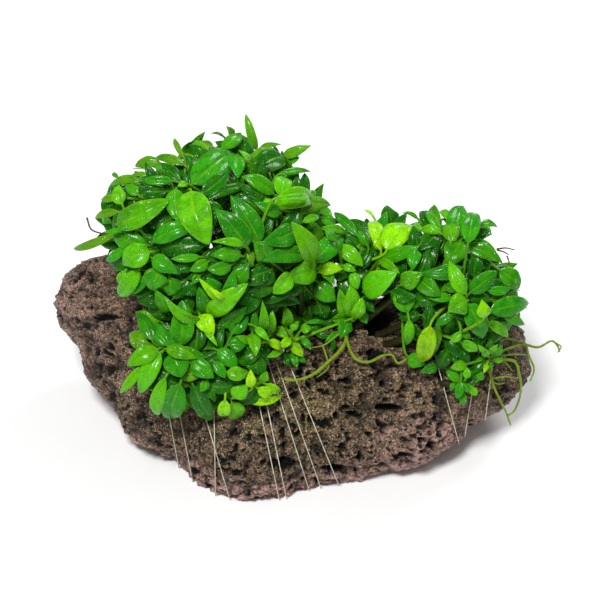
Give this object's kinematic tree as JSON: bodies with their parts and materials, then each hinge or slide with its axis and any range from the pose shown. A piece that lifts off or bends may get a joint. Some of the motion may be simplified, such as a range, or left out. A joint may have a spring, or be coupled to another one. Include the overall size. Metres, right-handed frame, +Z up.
{
  "type": "anubias on stone",
  "caption": "Dwarf aquarium plant with small glossy oval leaves, tied with thread to a long porous lava stone that rests on a flat base.",
  "frame": {"origin": "on the level base of the stone, under its middle, at the height of the surface it rests on", "axes": "+X along the length of the stone to the right as seen from the front, -Y to the front, +Z up"},
  "size_m": [0.199, 0.124, 0.1171],
  "materials": {
    "lava_stone": "rough, porous, damp",
    "shoot_back_crest": "waxy wet leaves",
    "shoot_back_end": "waxy wet leaves",
    "shoot_back_left": "waxy wet leaves",
    "shoot_back_low_left": "waxy wet leaves",
    "shoot_back_middle": "waxy wet leaves",
    "shoot_back_right": "waxy wet leaves",
    "shoot_back_saddle": "waxy wet leaves",
    "shoot_back_shoulder": "waxy wet leaves",
    "shoot_crest_front": "waxy wet leaves",
    "shoot_crest_left": "waxy wet leaves",
    "shoot_crest_right": "waxy wet leaves",
    "shoot_crest_top": "waxy wet leaves",
    "shoot_foot_left": "waxy wet leaves",
    "shoot_front_left": "waxy wet leaves",
    "shoot_front_low": "waxy wet leaves",
    "shoot_front_middle": "waxy wet leaves",
    "shoot_front_right": "waxy wet leaves",
    "shoot_front_upper": "waxy wet leaves",
    "shoot_left_inner": "waxy wet leaves",
    "shoot_left_low": "waxy wet leaves",
    "shoot_left_outer": "waxy wet leaves",
    "shoot_left_upper": "waxy wet leaves",
    "shoot_low_left": "waxy wet leaves",
    "shoot_low_right": "waxy wet leaves",
    "shoot_middle": "waxy wet leaves",
    "shoot_middle_left": "waxy wet leaves",
    "shoot_middle_low": "waxy wet leaves",
    "shoot_right_back": "waxy wet leaves",
    "shoot_right_foot": "waxy wet leaves",
    "shoot_right_front": "waxy wet leaves",
    "shoot_right_low": "waxy wet leaves",
    "shoot_right_middle": "waxy wet leaves",
    "shoot_right_outer": "waxy wet leaves",
    "shoot_right_rosette": "waxy wet leaves",
    "shoot_right_top": "waxy wet leaves",
    "shoot_saddle_back": "waxy wet leaves",
    "shoot_saddle_front": "waxy wet leaves",
    "shoot_saddle_left": "waxy wet leaves",
    "shoot_saddle_low": "waxy wet leaves",
    "shoot_saddle_right": "waxy wet leaves",
    "shoot_saddle_top": "waxy wet leaves",
    "shoot_shoulder": "waxy wet leaves",
    "tying_thread_01": "clear white nylon line",
    "tying_thread_02": "clear white nylon line",
    "tying_thread_03": "clear white nylon line",
    "tying_thread_04": "clear white nylon line",
    "tying_thread_05": "clear white nylon line",
    "tying_thread_06": "clear white nylon line",
    "tying_thread_07": "clear white nylon line",
    "tying_thread_08": "clear white nylon line",
    "tying_thread_09": "clear white nylon line",
    "tying_thread_10": "clear white nylon line",
    "tying_thread_11": "clear white nylon line",
    "tying_thread_12": "clear white nylon line"
  },
  "bodies": {
    "root": {"lava_stone": "lava_stone", "shoot_back_crest": "shoot_back_crest", "shoot_back_end": "shoot_back_end", "shoot_back_left": "shoot_back_left", "shoot_back_low_left": "shoot_back_low_left", "shoot_back_middle": "shoot_back_middle", "shoot_back_right": "shoot_back_right", "shoot_back_saddle": "shoot_back_saddle", "shoot_back_shoulder": "shoot_back_shoulder", "shoot_crest_front": "shoot_crest_front", "shoot_crest_left": "shoot_crest_left", "shoot_crest_right": "shoot_crest_right", "shoot_crest_top": "shoot_crest_top", "shoot_foot_left": "shoot_foot_left", "shoot_front_left": "shoot_front_left", "shoot_front_low": "shoot_front_low", "shoot_front_middle": "shoot_front_middle", "shoot_front_right": "shoot_front_right", "shoot_front_upper": "shoot_front_upper", "shoot_left_inner": "shoot_left_inner", "shoot_left_low": "shoot_left_low", "shoot_left_outer": "shoot_left_outer", "shoot_left_upper": "shoot_left_upper", "shoot_low_left": "shoot_low_left", "shoot_low_right": "shoot_low_right", "shoot_middle": "shoot_middle", "shoot_middle_left": "shoot_middle_left", "shoot_middle_low": "shoot_middle_low", "shoot_right_back": "shoot_right_back", "shoot_right_foot": "shoot_right_foot", "shoot_right_front": "shoot_right_front", "shoot_right_low": "shoot_right_low", "shoot_right_middle": "shoot_right_middle", "shoot_right_outer": "shoot_right_outer", "shoot_right_rosette": "shoot_right_rosette", "shoot_right_top": "shoot_right_top", "shoot_saddle_back": "shoot_saddle_back", "shoot_saddle_front": "shoot_saddle_front", "shoot_saddle_left": "shoot_saddle_left", "shoot_saddle_low": "shoot_saddle_low", "shoot_saddle_right": "shoot_saddle_right", "shoot_saddle_top": "shoot_saddle_top", "shoot_shoulder": "shoot_shoulder", "tying_thread_01": "tying_thread_01", "tying_thread_02": "tying_thread_02", "tying_thread_03": "tying_thread_03", "tying_thread_04": "tying_thread_04", "tying_thread_05": "tying_thread_05", "tying_thread_06": "tying_thread_06", "tying_thread_07": "tying_thread_07", "tying_thread_08": "tying_thread_08", "tying_thread_09": "tying_thread_09", "tying_thread_10": "tying_thread_10", "tying_thread_11": "tying_thread_11", "tying_thread_12": "tying_thread_12"}
  },
  "joints": []
}
